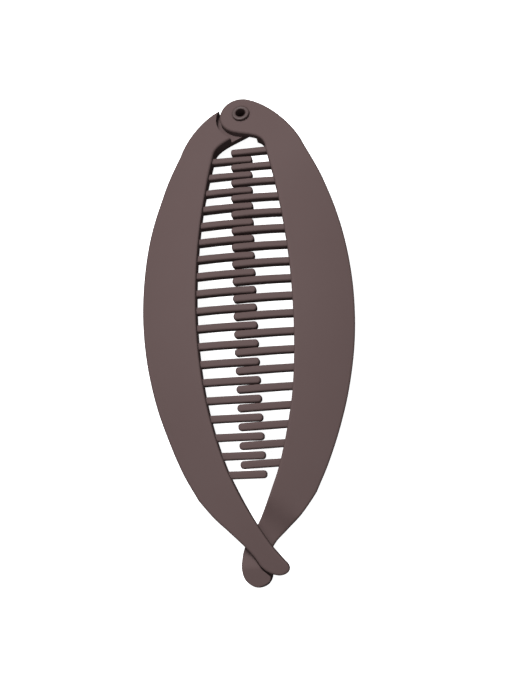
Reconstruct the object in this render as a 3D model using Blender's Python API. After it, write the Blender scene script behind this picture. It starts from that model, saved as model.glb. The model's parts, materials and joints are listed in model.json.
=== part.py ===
"""A large interlocking hair clip, sometimes called a fish or banana clip.

Two moulded combs cross at the tail and turn on one tubular rivet at the head.
Each comb is drawn flat, seen from the front: x runs to the right, y runs from
the hinge (0) down to the tail (negative), and z = 0 is its front face. The flat
comb is then bent over the crown of the head: one long arch and a slight camber
across. At last the whole clip is leaned over as it lies by itself on a table.
"""

import math

import bmesh
import bpy
from mathutils import Matrix, Vector

MM = 0.001

# Hinge, at the origin of the flat drawing
BODY_DEPTH = 3.9 * MM
LAYER_DEPTH = 1.8 * MM
DISC_RADIUS = {"left": 5.5 * MM, "right": 5.7 * MM}
DISC_CENTRE = {"left": (0.0, 0.0), "right": (-0.25 * MM, -0.15 * MM)}
DISC_FROM = {"left": math.radians(22), "right": math.radians(64)}
DISC_TO = {"left": math.radians(225), "right": math.radians(215)}
DISC_STEP = math.radians(7.5)
RECESS_RADIUS = {"left": 7.4 * MM, "right": 7.5 * MM}
RECESS_CENTRE = {"left": (-0.5 * MM, -1.1 * MM), "right": (-0.5 * MM, -1.6 * MM)}
FRONT_ROUND = 0.7 * MM
BACK_ROUND = 0.4 * MM

# Shoulder below the hinge and crown above it, as pulls on two curves, in mm
SHOULDER_PULLS = {"left": ((-0.9, 6.6), (6.3, 8.1)), "right": ((-1.9, 7.8), (6.5, 5.0))}
CROWN_PULLS = {"left": ((14.1, 4.0), (8.9, -1.4)), "right": ((14.1, 4.0), (7.4, -3.0))}
SHOULDER_STEPS = 12
CROWN_STEPS = 10

# Rolled tube rivet, with its turning clearance
TUBE_HOLE_RADIUS = 1.3 * MM
TUBE_RADIUS = 1.55 * MM
HEAD_RADIUS = 2.4 * MM
HEAD_HEIGHT = 0.55 * MM
REAR_HEAD_RADIUS = 2.2 * MM
REAR_HEAD_HEIGHT = 0.35 * MM
HEAD_CROWN = 0.6
HEAD_LIP = 0.15 * MM
HEAD_EASE = 0.25 * MM
CLEARANCE = 0.3 * MM
ROUND_STEPS = 24
CUT_PAST = 1 * MM

# Leaves: how far their edges stand from the middle line, at places along them
LEAF_ROWS = (12.0, 22.0, 34.0, 46.0, 58.0, 70.0, 82.0, 92.0, 101.0, 108.0)
INNER_EDGE = {
    "left": (7.6, 9.7, 11.6, 12.8, 13.3, 12.95, 11.65, 9.6, 6.95, 4.0),
    "right": (6.7, 8.95, 10.9, 12.15, 12.6, 12.35, 11.15, 9.05, 6.4, 3.5),
}
OUTER_EDGE = {
    "left": (17.0, 22.0, 26.0, 28.1, 28.8, 28.0, 25.7, 22.5, 18.95, 15.25),
    "right": (17.3, 22.1, 25.9, 28.1, 28.85, 28.15, 25.9, 22.85, 19.2, 15.65),
}
LEAF_DEPTH = 2.4 * MM
LEAF_STEP = 2.5 * MM

# Teeth, drawn with the right comb's tips across the middle line
TOOTH_COUNT = 19
TOOTH_PITCH = 4.9 * MM
FIRST_TOOTH = {"left": 14.0 * MM, "right": 11.65 * MM}
TOOTH_WIDTHS = (1.85 * MM, 2.08 * MM)
TOOTH_LEAN = {"left": math.radians(1.2), "right": 0.0}
TOOTH_PIVOT = 8.0 * MM
TOOTH_REACHES = {"left": (2.9 * MM, 3.2 * MM), "right": (3.0 * MM, 3.6 * MM)}
TOOTH_ROOT_SINK = 1.2 * MM
TOOTH_TIP_LENGTH = 1.1 * MM
TOOTH_TIP = (
    # share of the tip's length from its neck, share of the half width
    (0.0, 1.0),
    (0.55, 0.84),
    (0.93, 0.4),
)
TOOTH_FRONT = -1.05 * MM
TOOTH_BACK = -2.95 * MM
TOOTH_EDGE = 0.35 * MM

# Crossing tails, as outlines from the leaf's inner edge round to its outer edge
TAIL_DEPTH = 2.0 * MM
TAIL_GAP = 0.3 * MM
TAIL_SPACING = 1.1 * MM
TAIL_OUTLINE = {
    # The front tail is drawn mirrored, as for a right comb
    "left": (
        (0.6, 114.6), (-2.8, 120.4), (-5.4, 123.9), (-7.0, 126.0), (-6.8, 127.6),
        (-4.8, 128.4), (-2.4, 127.8), (-0.2, 126.2), (1.7, 123.2), (3.8, 120.6),
        (7.8, 116.4), (11.4, 112.8),
    ),
    "right": (
        (-0.2, 115.0), (-2.5, 117.6), (-3.9, 120.2), (-5.0, 123.2), (-5.5, 126.7),
        (-4.6, 129.6), (-1.7, 131.5), (1.4, 130.6), (2.6, 127.6), (2.4, 123.3),
        (3.7, 120.4), (7.4, 117.0), (11.5, 113.2),
    ),
}
CATCH_LIP = (
    # The rear paddle's raised rim, which holds the front tail's edge
    (-2.5, 122.8), (-4.7, 123.0), (-5.25, 126.6), (-4.4, 129.4), (-1.7, 131.25),
    (1.2, 130.4), (2.1, 129.0), (1.2, 127.8), (0.1, 126.8), (-0.9, 125.2), (-1.9, 123.5),
)
CATCH_LIP_RISE = 1.3 * MM
CATCH_LIP_SINK = 1.5 * MM
CATCH_LIP_ROUNDS = (0.3 * MM, 0.1 * MM)
CATCH_LIP_FROM, CATCH_LIP_TO = 121.5 * MM, 126.5 * MM

# Where the depth changes along the comb
THIN_FROM, THIN_TO = 9.0 * MM, 30.0 * MM
CROSS_FROM, CROSS_TO = 104.0 * MM, 114.5 * MM
CROSS_SLANT = 0.8

# Bend over the crown of the head
ARCH_RADIUS = 223.0 * MM
CAMBER_RADIUS = 84.0 * MM
ARCH_MIDDLE = 65.0 * MM
STRAIGHT_HEAD = 9.0 * MM
CAMBER_FROM, CAMBER_TO = 6.0 * MM, 26.0 * MM
EASE_FROM, EASE_TO = 108.0 * MM, 124.0 * MM
TAIL_CAMBER = 0.35

# Strips that the flat comb is cut into, so that it can bend
STRIPS_ALONG = (STRAIGHT_HEAD, 129.0 * MM, 4.8 * MM)
STRIPS_ACROSS = (-4.0 * MM, 28.0 * MM, 4.0 * MM)

# How the clip leans when it lies back down on a table
REST_PITCH = math.radians(0.21)
REST_ROLL = math.radians(3.5)

PLASTIC_COLOUR = (0.125, 0.091, 0.089, 1.0)
PLASTIC_ROUGHNESS = 0.62
RIVET_COLOUR = (0.118, 0.085, 0.083, 1.0)
RIVET_ROUGHNESS = 0.5
SMOOTH_ANGLE = math.radians(35)


def ease(value, low, high):
    """A smooth step from 0 at low to 1 at high."""
    t = min(max((value - low) / (high - low), 0.0), 1.0)
    return t * t * (3 - 2 * t)


def bezier(start, pull_a, pull_b, end, steps):
    """Points of a cubic curve, without its last point."""
    points = []
    for step in range(steps):
        t = step / steps
        weights = ((1 - t) ** 3, 3 * t * (1 - t) ** 2, 3 * t * t * (1 - t), t ** 3)
        x = sum(w * p[0] for w, p in zip(weights, (start, pull_a, pull_b, end)))
        y = sum(w * p[1] for w, p in zip(weights, (start, pull_a, pull_b, end)))
        points.append((x, y))
    return points


def through(points, spacing):
    """A smooth line from the second point to the last but one, read at a spacing."""
    smooth = []
    for before, start, end, after in zip(points, points[1:], points[2:], points[3:]):
        pull_a = [s + (e - b) / 6 for b, s, e in zip(before, start, end)]
        pull_b = [e - (a - s) / 6 for s, e, a in zip(start, end, after)]
        steps = max(1, round(math.dist(start, end) / spacing))
        smooth += bezier(start, pull_a, pull_b, end, steps)
    return smooth


def flat(points):
    """Sizes read across and along the comb, in mm, as flat x and y."""
    return [(across * MM, -along * MM) for across, along in points]


def leaf_edge(along, edge):
    """Interpolates an edge of the leaf at one place along the comb."""
    rows = [(row * MM, across * MM) for row, across in zip(LEAF_ROWS, edge)]
    index = max(i for i in range(len(rows) - 1) if rows[i][0] <= max(along, rows[0][0]))
    before = rows[max(index - 1, 0)]
    start, end = rows[index], rows[index + 1]
    after = rows[min(index + 2, len(rows) - 1)]
    t = (along - start[0]) / (end[0] - start[0])
    slope_a = (end[1] - before[1]) / (end[0] - before[0]) * (end[0] - start[0])
    slope_b = (after[1] - start[1]) / (after[0] - start[0]) * (end[0] - start[0])
    rise = end[1] - start[1]
    swell = slope_a * t * (1 - t) ** 2 - slope_b * t * t * (1 - t)
    return start[1] + rise * t * t * (3 - 2 * t) + swell


def comb_outline(side):
    """The flat outline of one comb without its teeth, drawn as a right comb."""
    disc = []
    centre_x, centre_y = DISC_CENTRE[side]
    turn = DISC_TO[side] - DISC_FROM[side]
    disc_steps = round(turn / DISC_STEP)
    for step in range(disc_steps + 1):
        angle = DISC_FROM[side] + turn * step / disc_steps
        x = centre_x + DISC_RADIUS[side] * math.cos(angle)
        y = centre_y + DISC_RADIUS[side] * math.sin(angle)
        disc.append((x, y))

    first, last = LEAF_ROWS[0] * MM, LEAF_ROWS[-1] * MM
    steps = round((last - first) / LEAF_STEP)
    rows = [first + (last - first) * step / steps for step in range(steps + 1)]
    inner = [(leaf_edge(along, INNER_EDGE[side]), -along) for along in rows]
    outer = [(leaf_edge(along, OUTER_EDGE[side]), -along) for along in reversed(rows)]

    shoulder = bezier(disc[-1], *flat(SHOULDER_PULLS[side]), inner[0], SHOULDER_STEPS)
    tail = flat(TAIL_OUTLINE[side])
    tail_line = through(inner[-2:] + tail + outer[:2], TAIL_SPACING)[1:]
    crown = bezier(outer[-1], *flat(CROWN_PULLS[side]), disc[0], CROWN_STEPS)
    return disc + shoulder[1:] + inner + tail_line + outer[:-1] + crown


def as_object(name, mesh):
    """Puts a finished bmesh into the scene as an object."""
    data = bpy.data.meshes.new(name)
    mesh.to_mesh(data)
    mesh.free()
    solid = bpy.data.objects.new(name, data)
    bpy.context.scene.collection.objects.link(solid)
    return solid


def prism(name, points, top, bottom, rounding, segments, cuts=()):
    """Extrudes a flat outline, rounds its two rims and cuts its faces into strips."""
    mesh = bmesh.new()
    rim = [mesh.verts.new((x, y, top)) for x, y in points]
    face = mesh.faces.new(rim)
    body = bmesh.ops.extrude_face_region(mesh, geom=[face])
    low = [item for item in body["geom"] if isinstance(item, bmesh.types.BMVert)]
    bmesh.ops.translate(mesh, verts=low, vec=(0, 0, bottom - top))
    bmesh.ops.recalc_face_normals(mesh, faces=mesh.faces)
    for level, size in zip((top, bottom), rounding):
        rims = [edge for edge in mesh.edges
                if all(abs(vert.co.z - level) < 0.01 * MM for vert in edge.verts)]
        bmesh.ops.bevel(mesh, geom=rims, offset=size, segments=segments,
                        affect="EDGES", profile=0.5, clamp_overlap=True)
    for place, normal in cuts:
        everything = mesh.verts[:] + mesh.edges[:] + mesh.faces[:]
        bmesh.ops.bisect_plane(mesh, geom=everything, dist=0.05 * MM, plane_co=place, plane_no=normal)
    return as_object(name, mesh)


def strips():
    """Cutting planes that let a flat leaf take the arch and the camber."""
    cuts = []
    start, end, step = STRIPS_ALONG
    for count in range(round((end - start) / step)):
        cuts.append(((0, -start - step * count, 0), (0, 1, 0)))
    start, end, step = STRIPS_ACROSS
    for count in range(round((end - start) / step)):
        cuts.append(((start + step * count, 0, 0), (1, 0, 0)))
    return cuts


def tooth(side, index):
    """One straight tooth with a rounded tip, cut where the camber bends it."""
    share = index / (TOOTH_COUNT - 1)
    along = FIRST_TOOTH[side] + TOOTH_PITCH * index
    half = (TOOTH_WIDTHS[0] + (TOOTH_WIDTHS[1] - TOOTH_WIDTHS[0]) * share) / 2
    near, far = TOOTH_REACHES[side]
    root = leaf_edge(along, INNER_EDGE[side]) + TOOTH_ROOT_SINK
    neck = TOOTH_TIP_LENGTH - (near + (far - near) * share)
    edge = [(root, half)]
    edge += [(neck - TOOTH_TIP_LENGTH * length, half * width) for length, width in TOOTH_TIP]
    edge += [(x, -y) for x, y in reversed(edge)]
    slope = math.tan(TOOTH_LEAN[side])
    points = [(x, y - along + (x - TOOTH_PIVOT) * slope) for x, y in edge]
    cuts = [((x, 0, 0), (1, 0, 0)) for x in (neck + 1 * MM, (root + neck) / 2)]
    thin = thinness(along)
    rims = (TOOTH_EDGE, TOOTH_EDGE)
    return prism(f"tooth_{index}", points, TOOTH_FRONT / thin, TOOTH_BACK / thin, rims, 1, cuts)


def turned(name, profile):
    """Turns a closed profile of (radius, z) about the hinge axis."""
    mesh = bmesh.new()
    rings = []
    for radius, z in profile:
        ring = []
        for step in range(ROUND_STEPS):
            angle = 2 * math.pi * step / ROUND_STEPS
            ring.append(mesh.verts.new((radius * math.cos(angle), radius * math.sin(angle), z)))
        rings.append(ring)
    for ring, after in zip(rings, rings[1:] + rings[:1]):
        for step in range(ROUND_STEPS):
            other = (step + 1) % ROUND_STEPS
            mesh.faces.new((ring[step], ring[other], after[other], after[step]))
    bmesh.ops.recalc_face_normals(mesh, faces=mesh.faces)
    return as_object(name, mesh)


def round_cutter(name, radius, centre, top, bottom):
    """A plain cylinder from bottom to top, used to cut."""
    mesh = bmesh.new()
    place = Matrix.Translation((centre[0], centre[1], (top + bottom) / 2))
    steps = ROUND_STEPS if radius < HEAD_RADIUS else 2 * ROUND_STEPS
    bmesh.ops.create_cone(mesh, cap_ends=True, segments=steps, radius1=radius, radius2=radius,
                          depth=top - bottom, matrix=place)
    return as_object(name, mesh)


def combine(solid, others, operation):
    """Joins solids to one body, or cuts them out of it, and uses them up."""
    for other in others:
        step = solid.modifiers.new(other.name, "BOOLEAN")
        step.operation = operation
        step.solver = "EXACT"
        step.object = other
    view = bpy.context.evaluated_depsgraph_get()
    data = bpy.data.meshes.new_from_object(solid.evaluated_get(view))
    solid.modifiers.clear()
    solid.data = data
    for other in others:
        bpy.data.objects.remove(other)


def thinness(along):
    """The depth of the leaf beside its depth at the hinge."""
    return 1 + (LEAF_DEPTH / BODY_DEPTH - 1) * ease(along, THIN_FROM, THIN_TO)


def depth_at(point, side):
    """Sets a flat point at its true depth: thinner down the comb, crossing at the tail."""
    along = -point.y
    thin = thinness(along)
    crossing = ease(along - CROSS_SLANT * point.x, CROSS_FROM, CROSS_TO)
    thin += (TAIL_DEPTH / BODY_DEPTH - thin) * crossing
    drop = 0.0 if side == "left" else (TAIL_DEPTH + TAIL_GAP) * crossing
    return point.z * thin - drop


def bend(x, y, z):
    """Bends a flat point over the long arch and the camber across it."""
    along = -y
    camber = ease(along, CAMBER_FROM, CAMBER_TO)
    camber *= 1 - (1 - TAIL_CAMBER) * ease(along, EASE_FROM, EASE_TO)
    turn = x / CAMBER_RADIUS
    across = x + ((CAMBER_RADIUS + z) * math.sin(turn) - x) * camber
    height = z + (CAMBER_RADIUS + z) * (math.cos(turn) - 1) * camber
    bent = max(along, STRAIGHT_HEAD)
    angle = (ARCH_MIDDLE - bent) / ARCH_RADIUS
    straight = bent - along
    radius = ARCH_RADIUS + height
    return Vector((
        across,
        radius * math.sin(angle) + straight * math.cos(angle),
        radius * math.cos(angle) - ARCH_RADIUS - straight * math.sin(angle),
    ))


def lean():
    """How the clip leans when it lies back down on a table."""
    return Matrix.Rotation(REST_ROLL, 4, "Y") @ Matrix.Rotation(REST_PITCH, 4, "X")


def settle(solids):
    """Lays the bent solids on the table, the middle of their box over the origin.

    Each solid's own origin is the middle of the hinge on the front face.
    """
    hinge = lean() @ bend(0, 0, 0)
    for solid in solids:
        solid.data.transform(Matrix.Translation(-hinge) @ lean())
        solid.data.shade_smooth()
        solid.data.set_sharp_from_angle(angle=SMOOTH_ANGLE)
    corners = [vert.co for solid in solids for vert in solid.data.vertices]
    low = [min(corner[axis] for corner in corners) for axis in range(3)]
    high = [max(corner[axis] for corner in corners) for axis in range(3)]
    for solid in solids:
        solid.location = (-(low[0] + high[0]) / 2, -(low[1] + high[1]) / 2, -low[2])


def plastic(name, colour, roughness):
    """A soft matt brown coat over moulded plastic."""
    material = bpy.data.materials.new(name)
    material.use_nodes = True
    shader = material.node_tree.nodes["Principled BSDF"]
    shader.inputs["Base Color"].default_value = colour
    shader.inputs["Roughness"].default_value = roughness
    shader.inputs["Metallic"].default_value = 0.0
    return material


def catch_lip():
    """The raised rim, sunk a little into the rear paddle and rising out of it in a slope."""
    top = CATCH_LIP_RISE * BODY_DEPTH / TAIL_DEPTH
    lip = prism("catch_lip", flat(CATCH_LIP), top, -CATCH_LIP_SINK, CATCH_LIP_ROUNDS, 1)
    for vert in lip.data.vertices:
        if vert.co.z > 0:
            rise = ease(-vert.co.y, CATCH_LIP_FROM, CATCH_LIP_TO)
            vert.co.z = (vert.co.z + CATCH_LIP_SINK / 2) * rise - CATCH_LIP_SINK / 2
    return lip


def comb(side, coat):
    """One moulded comb: leaf, teeth, hinge layer and crossing tail."""
    rounding = (FRONT_ROUND, BACK_ROUND)
    body = prism(f"{side}_comb", comb_outline(side), 0, -BODY_DEPTH, rounding, 2, strips())
    extras = [tooth(side, index) for index in range(TOOTH_COUNT)]
    if side == "right":
        extras.append(catch_lip())
    combine(body, extras, "UNION")

    front, back = CUT_PAST, -BODY_DEPTH - CUT_PAST
    top, bottom = (front, LAYER_DEPTH - BODY_DEPTH) if side == "left" else (-LAYER_DEPTH, back)
    recess = round_cutter("recess", RECESS_RADIUS[side], RECESS_CENTRE[side], top, bottom)
    hole = round_cutter("bore", TUBE_RADIUS + CLEARANCE, (0, 0), front, back)
    combine(body, [recess, hole], "DIFFERENCE")

    mirror = -1 if side == "left" else 1
    mesh = bmesh.new()
    mesh.from_mesh(body.data)
    bmesh.ops.triangulate(mesh, faces=mesh.faces)
    for vert in mesh.verts:
        vert.co = bend(vert.co.x * mirror, vert.co.y, depth_at(vert.co, side))
    if mirror < 0:
        bmesh.ops.reverse_faces(mesh, faces=mesh.faces)
    mesh.to_mesh(body.data)
    mesh.free()
    body.data.materials.append(coat)
    return body


def rolled_head(radius, height):
    """Half a rivet's profile: a rolled end, from the hole over the top to the tube."""
    crown = height * HEAD_CROWN
    return [
        (TUBE_HOLE_RADIUS, HEAD_LIP),
        (TUBE_HOLE_RADIUS + HEAD_EASE, crown),
        ((TUBE_HOLE_RADIUS + radius) / 2, height),
        (radius - HEAD_EASE, crown),
        (radius, HEAD_LIP),
        (radius - HEAD_EASE / 2, 0.0),
        (TUBE_RADIUS, 0.0),
    ]


def rivet(coat):
    """A tube with both ends rolled outwards, round and open right through."""
    front = rolled_head(HEAD_RADIUS, HEAD_HEIGHT)
    rear = rolled_head(REAR_HEAD_RADIUS, REAR_HEAD_HEIGHT)
    upper = [(radius, CLEARANCE + rise) for radius, rise in front]
    lower = [(radius, -BODY_DEPTH - CLEARANCE - rise) for radius, rise in reversed(rear)]
    solid = turned("hinge_rivet", upper + lower)
    for vert in solid.data.vertices:
        vert.co = bend(*vert.co)
    solid.data.materials.append(coat)
    return solid


def main():
    for old in list(bpy.data.objects):
        bpy.data.objects.remove(old)
    coat = plastic("matt_brown_coat", PLASTIC_COLOUR, PLASTIC_ROUGHNESS)
    rivet_coat = plastic("coated_rivet", RIVET_COLOUR, RIVET_ROUGHNESS)
    settle([comb("left", coat), comb("right", coat), rivet(rivet_coat)])


main()
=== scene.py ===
# %% [markdown]
# # A large interlocking hair clip
# Two moulded combs cross at the tail and turn on one rolled rivet at the head.
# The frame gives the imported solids, their joint and their record. Each piece
# below replaces one of those solids, in the same place and at the same size.

# %% Load the frame
import json
import math

import bpy
from mathutils import Matrix, Vector


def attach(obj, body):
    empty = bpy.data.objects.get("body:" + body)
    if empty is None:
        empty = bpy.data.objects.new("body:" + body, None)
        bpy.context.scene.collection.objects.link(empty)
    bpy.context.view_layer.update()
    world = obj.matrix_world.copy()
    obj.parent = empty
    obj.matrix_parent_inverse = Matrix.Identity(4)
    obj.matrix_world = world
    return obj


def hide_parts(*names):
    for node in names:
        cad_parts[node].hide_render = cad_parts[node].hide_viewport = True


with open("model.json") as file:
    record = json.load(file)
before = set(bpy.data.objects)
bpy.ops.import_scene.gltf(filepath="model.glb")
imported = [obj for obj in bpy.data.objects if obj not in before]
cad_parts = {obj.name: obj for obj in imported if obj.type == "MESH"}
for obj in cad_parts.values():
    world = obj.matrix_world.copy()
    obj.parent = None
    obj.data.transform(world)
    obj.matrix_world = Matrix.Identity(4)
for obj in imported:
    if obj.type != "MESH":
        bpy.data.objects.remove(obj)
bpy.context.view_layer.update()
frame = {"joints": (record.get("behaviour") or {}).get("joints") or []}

# %% [markdown]
# ## Sizes
# All drawing is done flat, in millimetres, as a pattern maker would: across is
# the distance from the clip's middle line and along is the distance below the
# hinge. The left comb is drawn as a right comb and mirrored at the end.

# %% Sizes of the combs
MM = 0.001
BODY_DEPTH = 3.9
LAYER_DEPTH = 1.8
LEAF_DEPTH = 2.4
TAIL_DEPTH = 2.0
TAIL_GAP = 0.3
FRONT_ROUND = 0.7
BACK_ROUND = 0.4

DISC_RADIUS = {"left": 5.5, "right": 5.7}
DISC_CENTRE = {"left": (0.0, 0.0), "right": (-0.25, 0.15)}
DISC_FROM = {"left": math.radians(29), "right": math.radians(64)}
DISC_TO = {"left": math.radians(225), "right": math.radians(215)}
SHOULDER_PULLS = {"left": ((-0.9, 6.6), (6.3, 8.1)), "right": ((-1.9, 7.8), (6.5, 5.0))}
CROWN_PULLS = {"left": ((14.1, 4.0), (8.9, -1.4)), "right": ((14.1, 4.0), (7.4, -3.0))}
RECESS_RADIUS = {"left": 7.4, "right": 7.5}
RECESS_CENTRE = {"left": (-0.5, 1.1), "right": (-0.5, 1.6)}
BORE_RADIUS = 1.85
CUT_PAST = 1

# Leaves: how far their edges stand from the middle line, at places along them
LEAF_ROWS = (12.0, 22.0, 34.0, 46.0, 58.0, 70.0, 82.0, 92.0, 101.0, 108.0)
INNER_EDGE = {
    "left": (7.6, 9.7, 11.6, 12.8, 13.3, 12.95, 11.65, 9.6, 6.95, 4.0),
    "right": (6.7, 8.95, 10.9, 12.15, 12.6, 12.35, 11.15, 9.05, 6.4, 3.5),
}
OUTER_EDGE = {
    "left": (17.0, 22.0, 26.0, 28.1, 28.8, 28.0, 25.7, 22.5, 18.95, 15.25),
    "right": (17.3, 22.1, 25.9, 28.1, 28.85, 28.15, 25.9, 22.85, 19.2, 15.65),
}
TAIL_OUTLINE = {
    # across, along, from the leaf's inner edge round to its outer edge
    "left": (
        (0.6, 114.6), (-2.8, 120.4), (-5.4, 123.9), (-7.0, 126.0), (-6.8, 127.6),
        (-4.8, 128.4), (-2.4, 127.8), (-0.2, 126.2), (1.7, 123.2), (3.8, 120.6),
        (7.8, 116.4), (11.4, 112.8),
    ),
    "right": (
        (-0.2, 115.0), (-2.5, 117.6), (-3.9, 120.2), (-5.0, 123.2), (-5.5, 126.7),
        (-4.6, 129.6), (-1.7, 131.5), (1.4, 130.6), (2.6, 127.6), (2.4, 123.3),
        (3.7, 120.4), (7.4, 117.0), (11.5, 113.2),
    ),
}
CATCH_LIP = (
    (-2.5, 122.8), (-4.7, 123.0), (-5.25, 126.6), (-4.4, 129.4), (-1.7, 131.25),
    (1.2, 130.4), (2.1, 129.0), (1.2, 127.8), (0.1, 126.8), (-0.9, 125.2), (-1.9, 123.5),
)
CATCH_LIP_RISE = 1.3
CATCH_LIP_SINK = 1.5
CATCH_LIP_ROUNDS = (0.35, 0.1)
CATCH_LIP_FROM, CATCH_LIP_TO = 121.5, 126.5

# %% [markdown]
# ## Working on one piece
# An operator acts on all that is selected, so each piece is first selected
# alone. Inside edit mode the corners, edges or faces to work on are found by
# where they lie, which does what a click would do by hand.

# %% Select and pick
def alone(*pieces):
    """Selects only these pieces, the first one active."""
    if bpy.context.object and bpy.context.object.mode != "OBJECT":
        bpy.ops.object.mode_set(mode="OBJECT")
    bpy.ops.object.select_all(action="DESELECT")
    for piece in pieces:
        piece.select_set(True)
    bpy.context.view_layer.objects.active = pieces[0]


def pick(piece, kind, test):
    """Opens a piece in edit mode with the corners, edges or faces that pass a test."""
    alone(piece)
    bpy.ops.object.mode_set(mode="EDIT")
    bpy.ops.mesh.select_mode(type=kind)
    bpy.ops.mesh.select_all(action="DESELECT")
    bpy.ops.object.mode_set(mode="OBJECT")
    corners = piece.data.vertices
    if kind == "VERT":
        for corner in corners:
            corner.select = test([corner.co])
    elif kind == "EDGE":
        for edge in piece.data.edges:
            edge.select = test([corners[i].co for i in edge.vertices])
    else:
        for face in piece.data.polygons:
            face.select = test([corners[i].co for i in face.vertices])
    bpy.ops.object.mode_set(mode="EDIT")


def done():
    """Leaves edit mode."""
    bpy.ops.object.mode_set(mode="OBJECT")


def modify(piece, kind, **settings):
    """Adds a modifier with its settings and applies it."""
    alone(piece)
    step = piece.modifiers.new(kind.lower(), kind)
    for name, value in settings.items():
        setattr(step, name, value)
    bpy.ops.object.modifier_apply(modifier=step.name)


def count(piece):
    return f"{piece.name}: {len(piece.data.vertices)} corners, {len(piece.data.polygons)} faces"


# %% [markdown]
# ## Drawing an outline
# The outline of each comb is one closed pen line. A Bezier curve is the tool
# for that: a few knots with handles give long fair curves, where a traced row
# of corners would look bumpy. The handles of the leaf follow the slope between
# the neighbouring rows of its table.

# %% Pen line
def flat(across, along):
    """A place in the flat drawing, in metres: x across, y up towards the hinge."""
    return Vector((across * MM, -along * MM, 0))


def pen_line(name, knots, detail):
    """Draws a closed curve through knots (place, handle in, handle out) as a mesh line."""
    bpy.ops.object.select_all(action="DESELECT")
    bpy.ops.curve.primitive_bezier_curve_add(location=(0, 0, 0))
    line = bpy.context.object
    line.name = name
    spline = line.data.splines[0]
    spline.bezier_points.add(len(knots) - len(spline.bezier_points))
    for point, (place, handle_in, handle_out) in zip(spline.bezier_points, knots):
        point.handle_left_type = point.handle_right_type = "FREE"
        point.co = place
        point.handle_left = place + handle_in
        point.handle_right = place + handle_out
    spline.use_cyclic_u = True
    line.data.resolution_u = detail
    alone(line)
    bpy.ops.object.convert(target="MESH")
    line = bpy.context.object
    pick(line, "VERT", lambda points: True)
    bpy.ops.mesh.remove_doubles(threshold=0.01 * MM)
    done()
    return line


def smooth_knots(before, places, after):
    """Knots whose handles run along the line between their neighbours."""
    chain = [before] + places + [after]
    knots = []
    for back, here, ahead in zip(chain, chain[1:], chain[2:]):
        handle = (ahead - back) / 6
        knots.append([here, -handle, handle])
    return knots


def leaf_knots(edge):
    """Knots down one edge of the leaf, from its row of sizes."""
    rows = list(zip(LEAF_ROWS, edge))
    knots = []
    for index, (along, across) in enumerate(rows):
        above = rows[max(index - 1, 0)]
        below = rows[min(index + 1, len(rows) - 1)]
        slope = (below[1] - above[1]) / (below[0] - above[0])
        handle = flat(slope, 1) / 3
        knots.append([flat(across, along), -handle * (along - above[0]), handle * (below[0] - along)])
    return knots


DISC_KNOTS = 4
TAIL_START = 2.5


def comb_knots(side):
    """The whole outline of a comb: disc, shoulder, inner edge, tail, outer edge, crown."""
    disc = []
    radius, (centre, level) = DISC_RADIUS[side], DISC_CENTRE[side]
    sweep = (DISC_TO[side] - DISC_FROM[side]) / (DISC_KNOTS - 1)
    reach = 4 / 3 * math.tan(sweep / 4) * radius
    for step in range(DISC_KNOTS):
        angle = DISC_FROM[side] + sweep * step
        place = flat(centre + radius * math.cos(angle), level - radius * math.sin(angle))
        handle = flat(-reach * math.sin(angle), -reach * math.cos(angle))
        disc.append([place, -handle, handle])
    inner = leaf_knots(INNER_EDGE[side])
    outer = [[place, ahead, back] for place, back, ahead in reversed(leaf_knots(OUTER_EDGE[side]))]
    tail = smooth_knots(inner[-1][0], [flat(*place) for place in TAIL_OUTLINE[side]], outer[0][0])

    crown, shoulder = CROWN_PULLS[side], SHOULDER_PULLS[side]
    disc[0][1] = flat(*crown[1]) - disc[0][0]
    outer[-1][2] = flat(*crown[0]) - outer[-1][0]
    disc[-1][2] = flat(*shoulder[0]) - disc[-1][0]
    inner[0][1] = flat(*shoulder[1]) - inner[0][0]
    near = TAIL_START / (LEAF_ROWS[-1] - LEAF_ROWS[-2])
    inner[-1][2] = (tail[0][0] - inner[-1][0].lerp(inner[-2][0], near)) / 6
    outer[0][1] = (tail[-1][0] - outer[0][0].lerp(outer[1][0], near)) / 6
    return disc + inner + tail + outer


def slab(name, line, top, bottom, rounds, segments):
    """Fills a pen line, gives it depth and rounds its front and back rims."""
    line.name = name
    pick(line, "VERT", lambda points: True)
    bpy.ops.mesh.edge_face_add()
    bpy.ops.transform.translate(value=(0, 0, top * MM))
    bpy.ops.mesh.extrude_region_move(TRANSFORM_OT_translate={"value": (0, 0, (bottom - top) * MM)})
    bpy.ops.mesh.select_all(action="SELECT")
    bpy.ops.mesh.normals_make_consistent(inside=False)
    for level, size in zip((top, bottom), rounds):
        pick(line, "EDGE", lambda points: all(abs(p.z - level * MM) < 0.001 * MM for p in points))
        bpy.ops.mesh.bevel(offset=size * MM, segments=segments, profile=0.5, affect="EDGES",
                           clamp_overlap=True)
    done()
    return line


# %% [markdown]
# ## The leaf of each comb
# The real comb is one moulding of about 4 mm at the hinge and under 3 mm in the
# leaf. The slab is cut by straight strips along and across, so that it has
# corners enough to bend later. Bisect does that without changing its shape.

# %% Leaf slabs
STRIP_ALONG = (-6.0, 132.0, 2.0)
STRIP_ACROSS = (-6.0, 29.0, 2.0)


def steps(start, end, step):
    return [start + step * n for n in range(int(round((end - start) / step)) + 1)]


def cut_strips(piece, along, across):
    """Cuts a flat piece into strips with straight planes."""
    alone(piece)
    bpy.ops.object.mode_set(mode="EDIT")
    for place in along:
        bpy.ops.mesh.select_all(action="SELECT")
        bpy.ops.mesh.bisect(plane_co=flat(0, place), plane_no=(0, 1, 0), threshold=0.02 * MM)
    for place in across:
        bpy.ops.mesh.select_all(action="SELECT")
        bpy.ops.mesh.bisect(plane_co=flat(place, 0), plane_no=(1, 0, 0), threshold=0.02 * MM)
    done()


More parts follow.
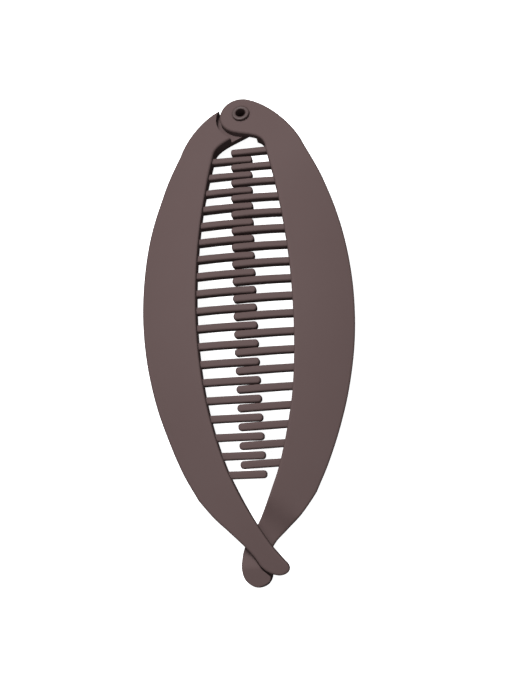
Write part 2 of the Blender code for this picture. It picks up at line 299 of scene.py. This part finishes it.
combs = {}
for side in ("left", "right"):
    line = pen_line(f"{side}_outline", comb_knots(side), 12)
    comb = slab(f"{side}_comb_moulding", line, 0, -BODY_DEPTH, (FRONT_ROUND, BACK_ROUND), 5)
    cut_strips(comb, steps(*STRIP_ALONG), steps(*STRIP_ACROSS))
    combs[side] = comb
    print(count(comb))

# %% [markdown]
# ## Teeth
# Nineteen straight teeth a side, flat on the front with soft edges and a
# rounded tip. One tooth is modelled from a cube: its tip corners are bevelled
# in plan, then its long edges, then it is cut in short lengths for the bend.
# Each copy is set at its own pitch, and all are joined to the leaf by a Boolean.

# %% One tooth
TOOTH_LENGTH = 18.0
TOOTH_WIDTH = 2.0
TOOTH_DEPTH = 2.15
TIP_ROUND = 0.9
TOOTH_EDGE = 0.55
TOOTH_STRIP = 1.5


def model_tooth():
    """A tooth lying along x with its tip at 0 and its front face at z = 0."""
    bpy.ops.object.select_all(action="DESELECT")
    middle = (TOOTH_LENGTH / 2 * MM, 0, -TOOTH_DEPTH / 2 * MM)
    bpy.ops.mesh.primitive_cube_add(size=1, location=middle,
                                    scale=(TOOTH_LENGTH * MM, TOOTH_WIDTH * MM, TOOTH_DEPTH * MM))
    tooth = bpy.context.object
    tooth.name = "tooth"
    bpy.ops.object.transform_apply(location=True, rotation=True, scale=True)
    pick(tooth, "EDGE", lambda p: all(q.x < 0.1 * MM for q in p) and abs(p[0].z - p[1].z) > MM)
    bpy.ops.mesh.bevel(offset=TIP_ROUND * MM, segments=8, profile=0.5, affect="EDGES")
    pick(tooth, "EDGE", lambda p: abs(p[0].z - p[1].z) < 0.01 * MM
         and not all(q.x > (TOOTH_LENGTH - 0.1) * MM for q in p))
    bpy.ops.mesh.bevel(offset=TOOTH_EDGE * MM, segments=4, profile=0.5, affect="EDGES")
    for place in steps(TOOTH_STRIP, TOOTH_LENGTH - TOOTH_STRIP, TOOTH_STRIP):
        bpy.ops.mesh.select_all(action="SELECT")
        bpy.ops.mesh.bisect(plane_co=(place * MM, 0, 0), plane_no=(1, 0, 0), threshold=0.02 * MM)
    done()
    return tooth


tooth = model_tooth()
print(count(tooth))

# %% [markdown]
# ## Bending by a cage
# Down the comb the leaf gets thinner, at the crossing each tail gets thinner
# again and the rear one drops behind the front one, and across it the leaf is
# slightly cambered. A lattice cage does all of this at once: its points are
# moved and the slab follows smoothly. The long arch comes after it, as a plain bend.

# %% Depth, drop and camber
THIN_FROM, THIN_TO = 9.0, 30.0
CROSS_FROM, CROSS_TO = 104.0, 114.5
CROSS_SLANT = 0.8
CAMBER_RADIUS = 84.0
CAMBER_FROM, CAMBER_TO = 6.0, 26.0
EASE_FROM, EASE_TO = 108.0, 124.0
TAIL_CAMBER = 0.35


def ease(value, low, high):
    """A smooth step from 0 at low to 1 at high."""
    t = min(max((value - low) / (high - low), 0.0), 1.0)
    return t * t * (3 - 2 * t)


def thinness(along):
    """Depth of the leaf beside its depth at the hinge."""
    return 1 + (LEAF_DEPTH / BODY_DEPTH - 1) * ease(along, THIN_FROM, THIN_TO)


def cage_place(side, across, along, z):
    """Where a cage point at this flat place goes: thinned, dropped, and square to the camber."""
    crossing = ease(along - CROSS_SLANT * across, CROSS_FROM, CROSS_TO)
    thin = thinness(along)
    thin += (TAIL_DEPTH / BODY_DEPTH - thin) * crossing
    drop = 0 if side == "left" else (TAIL_DEPTH + TAIL_GAP) * crossing
    kept = 1 - (1 - TAIL_CAMBER) * ease(along, EASE_FROM, EASE_TO)
    camber = ease(along, CAMBER_FROM, CAMBER_TO) * kept
    turn = across / CAMBER_RADIUS
    level = z * thin - drop
    new_across = across + ((CAMBER_RADIUS + level) * math.sin(turn) - across) * camber
    height = level + (CAMBER_RADIUS + level) * (math.cos(turn) - 1) * camber
    return flat(new_across, along) + Vector((0, 0, height * MM))


def lip_place(across, along, z):
    """Where a cage point of the catch lip goes: its top rises out of the paddle in a slope."""
    rise = ease(along, CATCH_LIP_FROM, CATCH_LIP_TO)
    level = z if z < 0 else (z + CATCH_LIP_SINK / 4) * rise - CATCH_LIP_SINK / 4
    return flat(across, along) + Vector((0, 0, level * MM))


def caged(piece, corner, opposite, points, place):
    """Puts a lattice round a flat piece, moves its points and applies it."""
    bpy.ops.object.select_all(action="DESELECT")
    bpy.ops.object.add(type="LATTICE", location=(0, 0, 0))
    lattice = bpy.context.object
    data = lattice.data
    data.points_u, data.points_v, data.points_w = points
    data.interpolation_type_u = data.interpolation_type_v = "KEY_CATMULL_ROM"
    data.interpolation_type_w = "KEY_LINEAR"
    first, last = data.points[0].co, data.points[-1].co
    size = [(opposite[i] - corner[i]) / (last[i] - first[i]) * MM for i in range(3)]
    lattice.scale = size
    lattice.location = [corner[i] * MM - first[i] * size[i] for i in range(3)]
    bpy.context.view_layer.update()
    out = lattice.matrix_world
    back = out.inverted()
    for point in data.points:
        flat_place = (out @ point.co) / MM
        point.co_deform = back @ place(flat_place.x, -flat_place.y, flat_place.z)
    modify(piece, "LATTICE", object=lattice)
    bpy.data.objects.remove(lattice)


# %% [markdown]
# ## The arch
# The clip follows the back of the head: a bend of 223 mm radius from the tail
# up to just below the hinge, where the head stays straight. A Simple Deform
# bend turns about an empty, and its limits keep the head straight.

# %% Bend
ARCH_RADIUS = 223.0
ARCH_MIDDLE = 65.0
STRAIGHT_HEAD = 9.0


def arch_empty():
    """An empty on the middle of the arch: its x runs up the comb and its y out of the front."""
    bpy.ops.object.select_all(action="DESELECT")
    bpy.ops.object.empty_add(type="ARROWS", location=(0, 0, 0))
    empty = bpy.context.object
    empty.name = "arch_middle"
    empty.matrix_world = Matrix(((0, 0, 1, 0), (1, 0, 0, -ARCH_MIDDLE * MM), (0, 1, 0, 0), (0, 0, 0, 1)))
    bpy.context.view_layer.update()
    return empty


def arch(piece, empty):
    """Bends a comb over its length, and sets the middle of the arch at the origin."""
    along = [corner.co.y for corner in piece.data.vertices]
    low, high = min(along), max(along)
    straight = -STRAIGHT_HEAD * MM
    modify(piece, "SIMPLE_DEFORM", deform_method="BEND", deform_axis="Z", origin=empty,
           limits=(0, (straight - low) / (high - low)), angle=-(straight - low) / (ARCH_RADIUS * MM))
    pick(piece, "VERT", lambda points: True)
    bpy.ops.transform.translate(value=(0, ARCH_MIDDLE * MM, 0))
    done()


# %% [markdown]
# ## Lying on the table
# Put down by itself, the clip stands on its hinge and its rear tail and leans a
# little to the right. The hinge goes where the frame has the joint.

# %% Place on the table
REST_ROLL = math.radians(3.5)
REST_PITCH = math.radians(0.21)
lean = Matrix.Rotation(REST_ROLL, 4, "Y") @ Matrix.Rotation(REST_PITCH, 4, "X")
head_turn = (ARCH_MIDDLE - STRAIGHT_HEAD) / ARCH_RADIUS
head = Vector((
    0,
    ARCH_RADIUS * math.sin(head_turn) + STRAIGHT_HEAD * math.cos(head_turn),
    ARCH_RADIUS * math.cos(head_turn) - ARCH_RADIUS - STRAIGHT_HEAD * math.sin(head_turn),
)) * MM
joint = frame["joints"][0]
hinge = Vector(joint["pos_m"])
table = Matrix.Translation(hinge - lean @ head) @ lean
print("hinge", tuple(hinge), "axis", joint["axis"], "expected",
      tuple(-(lean @ Vector((0, math.sin(head_turn), math.cos(head_turn))))))


def lay(piece, place):
    """Turns a finished piece to its place on the table, inside its mesh."""
    piece.matrix_world = place
    alone(piece)
    bpy.ops.object.transform_apply(location=True, rotation=True, scale=True)


# %% [markdown]
# ## Putting each comb together
# Teeth first, then the cuts that let the two hinge layers lie on each other,
# then the bore for the rivet. The right comb also carries the catch: a raised
# rim on its rear tail that holds the edge of the front tail.

# %% Teeth, hinge layer and catch
TOOTH_COUNT = 19
TOOTH_PITCH = 4.9
FIRST_TOOTH = {"left": 14.0, "right": 11.65}
TOOTH_WIDTHS = (1.85, 2.08)
TOOTH_LEAN = {"left": math.radians(2.0), "right": 0.0}
TOOTH_PIVOT = 8.0
TOOTH_REACHES = {"left": (2.9, 3.2), "right": (3.0, 3.6)}
TOOTH_FRONT = -1.05
SHORT_TEETH_END = 15.0
SHORT_TOOTH = 0.7


def set_teeth(side):
    """Copies the tooth down the comb and joins the copies to one mesh."""
    copies = []
    for index in range(TOOTH_COUNT):
        share = index / (TOOTH_COUNT - 1)
        along = FIRST_TOOTH[side] + TOOTH_PITCH * index
        width = TOOTH_WIDTHS[0] + (TOOTH_WIDTHS[1] - TOOTH_WIDTHS[0]) * share
        reach = TOOTH_REACHES[side][0] + (TOOTH_REACHES[side][1] - TOOTH_REACHES[side][0]) * share
        copy = tooth.copy()
        copy.data = tooth.data.copy()
        bpy.context.collection.objects.link(copy)
        fall = (reach + TOOTH_PIVOT) * math.tan(TOOTH_LEAN[side])
        copy.location = flat(-reach, along + fall) + Vector((0, 0, TOOTH_FRONT / thinness(along) * MM))
        copy.rotation_euler.z = TOOTH_LEAN[side]
        copy.scale = (1, width / TOOTH_WIDTH, 1 / thinness(along))
        if along < SHORT_TEETH_END:
            copy.scale.x = SHORT_TOOTH
        copies.append(copy)
    alone(*copies)
    bpy.ops.object.transform_apply(location=True, rotation=True, scale=True)
    bpy.ops.object.join()
    return bpy.context.object


def drum(radius, centre, top, bottom):
    """A round cutter along the hinge axis."""
    bpy.ops.object.select_all(action="DESELECT")
    place = flat(*centre) + Vector((0, 0, (top + bottom) / 2 * MM))
    bpy.ops.mesh.primitive_cylinder_add(vertices=96, radius=radius * MM, depth=(top - bottom) * MM,
                                        location=place)
    return bpy.context.object


def boolean(piece, other, operation):
    modify(piece, "BOOLEAN", operation=operation, solver="EXACT", object=other)
    bpy.data.objects.remove(other)


empty = arch_empty()
for side, comb in combs.items():
    boolean(comb, set_teeth(side), "UNION")
    if side == "right":
        rim = [flat(*place) for place in CATCH_LIP]
        line = pen_line("catch_line", smooth_knots(rim[-1], rim, rim[0]), 6)
        lip = slab("catch_lip", line, CATCH_LIP_RISE, -CATCH_LIP_SINK, CATCH_LIP_ROUNDS, 4)
        cut_strips(lip, steps(123.0, 131.0, 0.5), ())
        caged(lip, (-9.0, -133.0, -CATCH_LIP_SINK), (5.0, -120.0, CATCH_LIP_RISE), (2, 40, 2), lip_place)
        boolean(comb, lip, "UNION")
    front, back = CUT_PAST, -BODY_DEPTH - CUT_PAST
    top, bottom = (-LAYER_DEPTH, back) if side == "right" else (front, LAYER_DEPTH - BODY_DEPTH)
    boolean(comb, drum(RECESS_RADIUS[side], RECESS_CENTRE[side], top, bottom), "DIFFERENCE")
    boolean(comb, drum(BORE_RADIUS, (0, 0), front, back), "DIFFERENCE")
    caged(comb, (-9.0, -137.0, -BODY_DEPTH), (32.0, 10.0, 0.0), (21, 76, 2),
          lambda across, along, z: cage_place(side, across, along, z))
    if side == "left":
        pick(comb, "VERT", lambda points: True)
        bpy.ops.transform.mirror(constraint_axis=(True, False, False), center_override=(0, 0, 0))
        bpy.ops.mesh.select_all(action="SELECT")
        bpy.ops.mesh.normals_make_consistent(inside=False)
        done()
    arch(comb, empty)
    lay(comb, table)
    print(count(comb))
bpy.data.objects.remove(tooth)
bpy.data.objects.remove(empty)

# %% [markdown]
# ## The rivet
# The hinge pin is an eyelet: a thin tube whose two ends are rolled outwards.
# Its section is drawn once as a closed pen line and spun about the hinge axis.

# %% Spin the rivet
TUBE_HOLE_RADIUS = 1.3
TUBE_RADIUS = 1.55
HEAD_RADIUS = 2.4
HEAD_HEIGHT = 0.55
REAR_HEAD_RADIUS = 2.2
REAR_HEAD_HEIGHT = 0.35
CLEARANCE = 0.3


def rivet_knots():
    """The section of the rivet's wall: radius across, and height as minus along."""
    front, back = CLEARANCE, -BODY_DEPTH - CLEARANCE
    crown = (TUBE_HOLE_RADIUS + HEAD_RADIUS) / 2
    rear_crown = (TUBE_HOLE_RADIUS + REAR_HEAD_RADIUS) / 2
    shape = [
        # radius, height, handle in, handle out
        (TUBE_HOLE_RADIUS, front + 0.2, (0, -0.3), (0, 0.2)),
        (crown, front + HEAD_HEIGHT, (-0.42, 0), (0.36, 0)),
        (HEAD_RADIUS, front + 0.24, (0, 0.2), (0, -0.12)),
        (HEAD_RADIUS - 0.18, front, (0.1, 0), (-0.1, 0)),
        (TUBE_RADIUS, front, (0.1, 0), (0, -0.1)),
        (TUBE_RADIUS, back, (0, 0.1), (0.1, 0)),
        (REAR_HEAD_RADIUS - 0.1, back, (-0.1, 0), (0.06, 0)),
        (REAR_HEAD_RADIUS, back - 0.12, (0, 0.06), (0, -0.12)),
        (rear_crown, back - REAR_HEAD_HEIGHT, (0.3, 0), (-0.3, 0)),
        (TUBE_HOLE_RADIUS, back - 0.02, (0, -0.16), (0, 0.3)),
    ]
    return [[flat(radius, -height), flat(a[0], -a[1]), flat(b[0], -b[1])]
            for radius, height, a, b in shape]


section = pen_line("hinge_rivet_eyelet", rivet_knots(), 6)
pick(section, "VERT", lambda points: True)
bpy.ops.transform.rotate(value=-math.pi / 2, orient_axis="X", center_override=(0, 0, 0))
print("section box", [tuple(round(v / MM, 2) for v in c) for c in section.bound_box[:1]],
      [round(c / MM, 2) for c in section.dimensions])
bpy.ops.mesh.spin(steps=64, angle=2 * math.pi, center=(0, 0, 0), axis=(0, 0, 1))
bpy.ops.mesh.select_all(action="SELECT")
bpy.ops.mesh.remove_doubles(threshold=0.005 * MM)
bpy.ops.mesh.normals_make_consistent(inside=False)
done()
rivet = section
lay(rivet, Matrix.Translation(hinge) @ lean @ Matrix.Rotation(-head_turn, 4, "X"))
print(count(rivet), [round(v / MM, 2) for v in rivet.dimensions])

# %% [markdown]
# ## Soft shading
# Rims and tips are rounded and must shade smoothly, while the step of the hinge
# layer and the roots of the teeth stay crisp. Weighted normals keep the broad
# faces flat beside their narrow rounded rims.

# %% Smooth
SHARP_ANGLE = math.radians(35)

for piece in (*combs.values(), rivet):
    alone(piece)
    bpy.ops.object.shade_smooth_by_angle(angle=SHARP_ANGLE)
    modify(piece, "WEIGHTED_NORMAL", keep_sharp=True, mode="FACE_AREA")

# %% [markdown]
# ## Finishes
# The combs are moulded plastic under a soft-touch coat: matt, a little velvety,
# warm grey brown. The eyelet carries the same coat, worn smoother.

# %% Colours and nodes
def colour(code):
    """An sRGB hex colour as linear red, green, blue and alpha."""
    values = [int(code[i:i + 2], 16) / 255 for i in (1, 3, 5)]
    return [v / 12.92 if v <= 0.04045 else ((v + 0.055) / 1.055) ** 2.4 for v in values] + [1.0]


def add(material, kind, settings=None, **links):
    """Adds a node, sets its values and links its sockets from (node, output) pairs."""
    tree = material.node_tree
    node = tree.nodes.new(kind)
    for name, value in (settings or {}).items():
        if name in node.inputs:
            node.inputs[name].default_value = value
        else:
            setattr(node, name, value)
    for name, (source, output) in links.items():
        tree.links.new(source.outputs[output], node.inputs[name.replace("_", " ")])
    return node


def new_material(name):
    material = bpy.data.materials.new(name)
    material.use_nodes = True
    return material, material.node_tree.nodes["Principled BSDF"]


MIX_FIRST, MIX_SECOND, MIX_COLOUR = 6, 7, 2
PATCHES_PER_METRE = 45.0
GRAINS_PER_METRE = 2600.0
GRAIN_HEIGHT = 0.00005


def soft_touch(name, base, patch, roughness):
    """A sprayed soft-touch coat: even colour, faint patches, a fine grain."""
    material, shader = new_material(name)
    tree = material.node_tree
    place = add(material, "ShaderNodeTexCoord")
    patches = add(material, "ShaderNodeTexNoise", {"Scale": PATCHES_PER_METRE, "Detail": 3.0},
                  Vector=(place, "Object"))
    mix = add(material, "ShaderNodeMix", {"data_type": "RGBA"}, Factor=(patches, "Fac"))
    mix.inputs[MIX_FIRST].default_value = colour(base)
    mix.inputs[MIX_SECOND].default_value = colour(patch)
    tree.links.new(mix.outputs[MIX_COLOUR], shader.inputs["Base Color"])
    grain = add(material, "ShaderNodeTexNoise", {"Scale": GRAINS_PER_METRE, "Detail": 2.0},
                Vector=(place, "Object"))
    bump = add(material, "ShaderNodeBump", {"Strength": 0.12, "Distance": GRAIN_HEIGHT},
               Height=(grain, "Fac"))
    tree.links.new(bump.outputs["Normal"], shader.inputs["Normal"])
    shader.inputs["Roughness"].default_value = roughness
    shader.inputs["IOR"].default_value = 1.49
    shader.inputs["Specular IOR Level"].default_value = 0.35
    return material


coat = soft_touch("soft_touch_coat_on_moulded_plastic", "#564645", "#524140", 0.8)
rivet_coat = soft_touch("coated_rolled_steel", "#4C3D3C", "#453635", 0.55)
for piece in combs.values():
    piece.data.materials.clear()
    piece.data.materials.append(coat)
rivet.data.materials.clear()
rivet.data.materials.append(rivet_coat)

# %% [markdown]
# ## Which piece stands for which solid
# Each moulding rides on its half of the clip and replaces its solid. The rivet
# stays with the right half.

# %% Ride and replace
for side, comb in combs.items():
    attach(comb, f"{side}_half")
    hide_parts(f"{side}_comb")
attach(rivet, "right_half")
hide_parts("hinge_rivet")

# %% [markdown]
# ## Camera
# The photo looks down on the front from the tail side, turned so that the clip
# stands almost upright. The camera was fitted to the photo in the clip's own
# frame, so it leans with the clip as the clip lies on the table.

# %% Camera
IMAGE_HEIGHT = 688
CAMERA_ELEVATION = math.radians(71.892)
CAMERA_AZIMUTH = math.radians(28.265)
CAMERA_ROLL = math.radians(-32.106)
CAMERA_DISTANCE = 0.42
FOCAL_PIXELS = 1627.5
FRAMING_SHIFT = (12.574, -14.053)
SENSOR = 36.0

toward = Vector((
    math.sin(CAMERA_AZIMUTH) * math.cos(CAMERA_ELEVATION),
    -math.cos(CAMERA_AZIMUTH) * math.cos(CAMERA_ELEVATION),
    math.sin(CAMERA_ELEVATION),
))
level = Vector((0, 0, 1)).cross(toward).normalized()
rise = toward.cross(level)
right = level * math.cos(CAMERA_ROLL) + rise * math.sin(CAMERA_ROLL)
up = rise * math.cos(CAMERA_ROLL) - level * math.sin(CAMERA_ROLL)
axes = Matrix((right, up, toward)).transposed().to_4x4()

bpy.ops.object.select_all(action="DESELECT")
bpy.ops.object.camera_add()
camera = bpy.context.object
camera.name = "camera"
camera.matrix_world = table @ Matrix.Translation(toward * CAMERA_DISTANCE) @ axes
camera.data.sensor_width = SENSOR
camera.data.lens = FOCAL_PIXELS * SENSOR / IMAGE_HEIGHT
camera.data.shift_x = FRAMING_SHIFT[0] / IMAGE_HEIGHT
camera.data.shift_y = FRAMING_SHIFT[1] / IMAGE_HEIGHT
camera.data.clip_start = 0.01
bpy.context.scene.camera = camera
print("camera", tuple(round(v, 4) for v in camera.location), "lens", round(camera.data.lens, 2))

# %% [markdown]
# ## Floor and light
# The photo is a product shot on a glowing white table: the gaps between the
# teeth are as white as the ground, and the sides that face down are dark. So
# the floor glows, but its glow is kept off the clip, and the surround is bright
# above and dark below. One soft light stands higher, a little to the left.

# %% Stage
FLOOR_SIZE = 6.0

bpy.ops.object.select_all(action="DESELECT")
bpy.ops.mesh.primitive_plane_add(size=FLOOR_SIZE, location=(0, 0, 0))
floor = bpy.context.object
floor.name = "light_table"
floor.visible_diffuse = False
floor.visible_glossy = False
glow, glow_shader = new_material("lit_opal_acrylic")
glow_shader.inputs["Base Color"].default_value = colour("#F6F6F6")
glow_shader.inputs["Roughness"].default_value = 0.9
glow_shader.inputs["Specular IOR Level"].default_value = 0.0
glow_shader.inputs["Emission Color"].default_value = colour("#FFFFFF")
glow_shader.inputs["Emission Strength"].default_value = 0.92
floor.data.materials.append(glow)

SKY, GROUND = 0.74, 0.0
SKY_FROM, SKY_TO = 0.3, 0.9
world = bpy.data.worlds.new("bright_above_dark_below")
bpy.context.scene.world = world
world.use_nodes = True
direction = add(world, "ShaderNodeTexCoord")
parts = add(world, "ShaderNodeSeparateXYZ", Vector=(direction, "Generated"))
heights = {"From Min": SKY_FROM, "From Max": SKY_TO, "To Min": GROUND, "To Max": SKY}
above = add(world, "ShaderNodeMapRange", heights, Value=(parts, "Z"))
sky = world.node_tree.nodes["Background"]
world.node_tree.links.new(above.outputs["Result"], sky.inputs["Strength"])
sky.inputs["Color"].default_value = colour("#FFFFFF")


def soft_light(name, side, height, distance, size, power):
    """A square light that looks at the clip from a place beside the camera's axis."""
    bpy.ops.object.select_all(action="DESELECT")
    bpy.ops.object.light_add(type="AREA")
    light = bpy.context.object
    light.name = name
    aim = (toward + right * side + up * height).normalized()
    light.location = table @ (aim * distance)
    light.rotation_euler = (lean.to_3x3() @ aim).to_track_quat("Z", "Y").to_euler()
    light.data.size = size
    light.data.energy = power


soft_light("window_light", side=-0.42, height=0.9, distance=1.1, size=0.32, power=12.5)
bpy.context.scene.view_settings.view_transform = "Standard"
